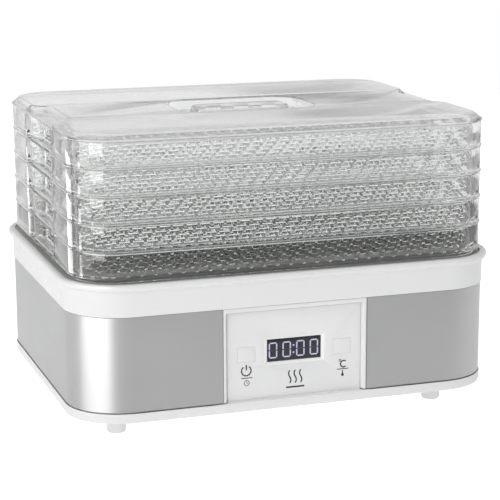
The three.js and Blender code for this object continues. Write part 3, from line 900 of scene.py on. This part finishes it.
def cross_tool(node, head_up):
    """A cross-shaped recess for the head of an upright screw."""
    low, high = box_mm(node)
    middle = (low + high) / 2
    z0, z1 = (high.z - 1.1, high.z + 1) if head_up else (low.z - 1, low.z + 1.1)
    tools = []
    for half in ((1.9, 0.4), (0.4, 1.9)):
        tool = Shape()
        tool.prism(rectangle(*half, middle.x, middle.y), z0, z1)
        tools.append(tool)
    return tools


def screws():
    upright = [(f"base_screw_{k}", False) for k in range(1, 5)]
    upright += [(f"deck_screw_{k}", True) for k in range(1, 5)]
    upright += [(f"bracket_screw_{k}", True) for k in (1, 2)]
    for node, head_up in upright:
        item = refined(node, "base", FITTING, 0.15, 2)
        for tool in cross_tool(node, head_up):
            bore(item, tool)
    for number in range(1, 5):
        refined(f"board_screw_{number}", "base", FITTING, 0.12, 2)


def cord_bush():
    low, high = box_mm("cord_bush")
    middle = (low + high) / 2
    y0, y1 = low.y, high.y
    flange = high.x - middle.x
    shape = Shape()
    shape.turned_ring([(3.4, y0 + 0.3), (3.7, y0), (8.0, y0), (8.2, y0 + 0.3), (8.2, y0 + 2.9),
                       (5.9, y0 + 2.9), (5.9, y0 + 4.3), (flange, y0 + 4.3), (flange, y1 - 1.0),
                       (flange - 0.4, y1 - 0.4), (flange - 1.2, y1), (3.9, y1), (3.4, y1 - 0.5)])
    shape.lay_along_y(middle.x, middle.z)
    shape.piece("cord_bush_finished", "base", WHITE, ["cord_bush"])


INSIDE = [  # node, material and bevel
    ("air_duct", GREY, 0.3), ("intake_grille", GREY, 0.3), ("motor_bracket", FITTING, 0.25),
    ("fan_motor", FITTING, 0.5), ("heater_frame", MICA, 0.1), ("thermal_fuse", FITTING, 0.3),
    ("temperature_probe", FITTING, 0.2), ("display_module", BLACK, 0.3), ("time_switch", BLACK, 0.2),
    ("temperature_switch", BLACK, 0.2), ("control_board", BOARD, 0.15), ("power_board", BOARD, 0.2),
]


def inside():
    for node, material, bevel in INSIDE:
        refined(node, "base", material, bevel, 2)
    refined("fan_rotor", "fan", BLACK, 0.3, 2)
    refined("motor_shaft", "fan", FITTING, 0.3, 2)
    for node, material in (("heater_coil", FITTING), ("ribbon_cable", GREY)):
        item = frame["nodes"][node]
        item.data.materials.clear()
        item.data.materials.append(material)


rim()
steel_wrap()
pan()
feet()
air_deck()
trays()
lid()
panel()
screws()
cord_bush()
inside()

# ---- Studio ----

CAMERA_AT = (-0.41487, -1.26543, 0.40127)  # metres, as are the lengths of the lamps
CAMERA_TURN = -19.372  # degrees about Z
CAMERA_DIP = 13.501  # degrees below the horizon
CAMERA_LENS = 126.1
CAMERA_SHIFT = (-0.0539, 0.0630)

LAMPS = [  # name, place, width and height, power in watts, kinds of ray that do not see it
    ("left_softbox", (-1.5, -0.5, 0.9), (0.8, 0.8), 4, ("transmission",)),
    ("top_softbox", (0.1, -0.1, 1.7), (1.6, 1.6), 6, ("transmission",)),
    ("right_softbox", (1.4, -1.0, 0.8), (0.8, 0.8), 1, ("transmission",)),
    ("front_left_softbox", (-1.0, -1.1, 0.8), (0.6, 0.9), 5.5, ("glossy", "transmission")),
    ("left_panel", (-1.5, -0.3, 0.4), (0.75, 1.6), 11, ("diffuse", "transmission")),
    ("front_left_panel", (-1.15, -0.95, 0.75), (0.9, 1.0), 22, ("diffuse", "transmission")),
    ("back_left_strip", (-0.4, 0.28, 0.09), (0.24, 0.16), 0.65, ("diffuse", "transmission")),
    ("left_strip", (-0.485, -0.045, 0.09), (0.05, 0.16), 0.25, ("diffuse", "transmission")),
]
CLEAR_ONLY = ("back_left_strip", "left_strip")  # lamps that draw bands on the clear pieces and nothing else
LAMPS_AIM = Vector((0, 0, 0.1))
ROOM_FILL = 0.4  # strength of the room for diffuse rays
ROOM_CARDS = ((0.2, 0.25), (0.42, 0.8))  # front and back of the room for other rays: place and shade
FLOOR_GLOW = (0.32, 0.7)  # emission of the floor for other rays and for the camera
FLOOR_HALF = 1500  # millimetres
FLOOR_DEPTH = 2
BOUNCES = 24  # what clear walls behind clear walls need

scene = bpy.context.scene


def camera():
    camera_data = bpy.data.cameras.new("camera")
    camera_data.lens = CAMERA_LENS
    camera_data.shift_x, camera_data.shift_y = CAMERA_SHIFT
    camera_data.clip_end = 50
    item = bpy.data.objects.new("camera", camera_data)
    item.location = CAMERA_AT
    item.rotation_euler = (math.radians(90 - CAMERA_DIP), 0, math.radians(CAMERA_TURN))
    scene.collection.objects.link(item)
    scene.camera = item


def lamps():
    clear_pieces = bpy.data.collections.new("clear_pieces")
    for item in scene.collection.all_objects:
        if item.name.startswith(("tray_", "lid_")):
            clear_pieces.objects.link(item)
    for name, place_at, size, power, hidden_from in LAMPS:
        data = bpy.data.lights.new(name, "AREA")
        data.shape = "RECTANGLE"
        data.size, data.size_y = size
        data.energy = power
        lamp = bpy.data.objects.new(name, data)
        lamp.location = place_at
        lamp.visible_camera = False
        lamp.visible_diffuse = "diffuse" not in hidden_from
        lamp.visible_glossy = "glossy" not in hidden_from
        lamp.visible_transmission = "transmission" not in hidden_from
        lamp.rotation_euler = (LAMPS_AIM - lamp.location).to_track_quat("-Z", "Y").to_euler()
        scene.collection.objects.link(lamp)
        if name in CLEAR_ONLY:
            lamp.light_linking.receiver_collection = clear_pieces


def room():
    """White for the camera, an even fill for diffuse rays, and darker in front for other rays."""
    world = bpy.data.worlds.new("white_room")
    scene.world = world
    world.use_nodes = True
    nodes, links = world.node_tree.nodes, world.node_tree.links
    backdrop = nodes["Background"]
    backdrop.inputs["Color"].default_value = (1, 1, 1, 1)
    fill = nodes.new("ShaderNodeBackground")
    fill.inputs["Color"].default_value = (0.98, 0.99, 1, 1)
    fill.inputs["Strength"].default_value = ROOM_FILL
    cards = nodes.new("ShaderNodeBackground")
    way = nodes.new("ShaderNodeTexCoord")
    split = nodes.new("ShaderNodeSeparateXYZ")
    ramp = nodes.new("ShaderNodeValToRGB")
    for element, (position, shade) in zip(ramp.color_ramp.elements, ROOM_CARDS):
        element.position = position
        element.color = (shade, shade, shade, 1)
    depth = nodes.new("ShaderNodeMapRange")
    depth.inputs["From Min"].default_value = -1
    links.new(way.outputs["Generated"], split.inputs["Vector"])
    links.new(split.outputs["Y"], depth.inputs["Value"])
    links.new(depth.outputs["Result"], ramp.inputs["Fac"])
    links.new(ramp.outputs["Color"], cards.inputs["Color"])
    path = nodes.new("ShaderNodeLightPath")
    soft = nodes.new("ShaderNodeMixShader")
    mix = nodes.new("ShaderNodeMixShader")
    links.new(path.outputs["Is Diffuse Ray"], soft.inputs["Fac"])
    links.new(cards.outputs["Background"], soft.inputs[1])
    links.new(fill.outputs["Background"], soft.inputs[2])
    links.new(path.outputs["Is Camera Ray"], mix.inputs["Fac"])
    links.new(soft.outputs["Shader"], mix.inputs[1])
    links.new(backdrop.outputs["Background"], mix.inputs[2])
    links.new(mix.outputs["Shader"], nodes["World Output"].inputs["Surface"])


def paper_floor():
    floor_shape = Shape()
    floor_shape.prism(rectangle(FLOOR_HALF, FLOOR_HALF), -FLOOR_DEPTH, 0)
    paper = solid_finish("pale_floor", "white_plastic", (0.94, 0.94, 0.94), (0.96, 0.96, 0.96),
                         (0.7, 0.9), 400, 0.01, Emission_Color=(1, 1, 1, 1))
    tree = paper.node_tree
    seen = tree.nodes.new("ShaderNodeLightPath")
    glow = tree.nodes.new("ShaderNodeMapRange")
    glow.inputs["To Min"].default_value, glow.inputs["To Max"].default_value = FLOOR_GLOW
    tree.links.new(seen.outputs["Is Camera Ray"], glow.inputs["Value"])
    tree.links.new(glow.outputs["Result"], tree.nodes["Principled BSDF"].inputs["Emission Strength"])
    ground = bpy.data.objects.new("floor", floor_shape.mesh("floor"))
    ground.data.materials.append(paper)
    scene.collection.objects.link(ground)


def light_paths():
    scene.view_settings.view_transform = "Standard"
    scene.cycles.max_bounces = BOUNCES
    scene.cycles.transmission_bounces = BOUNCES
    scene.cycles.glossy_bounces = BOUNCES
    scene.cycles.transparent_max_bounces = 64
    scene.cycles.caustics_reflective = False


camera()
lamps()
room()
paper_floor()
light_paths()
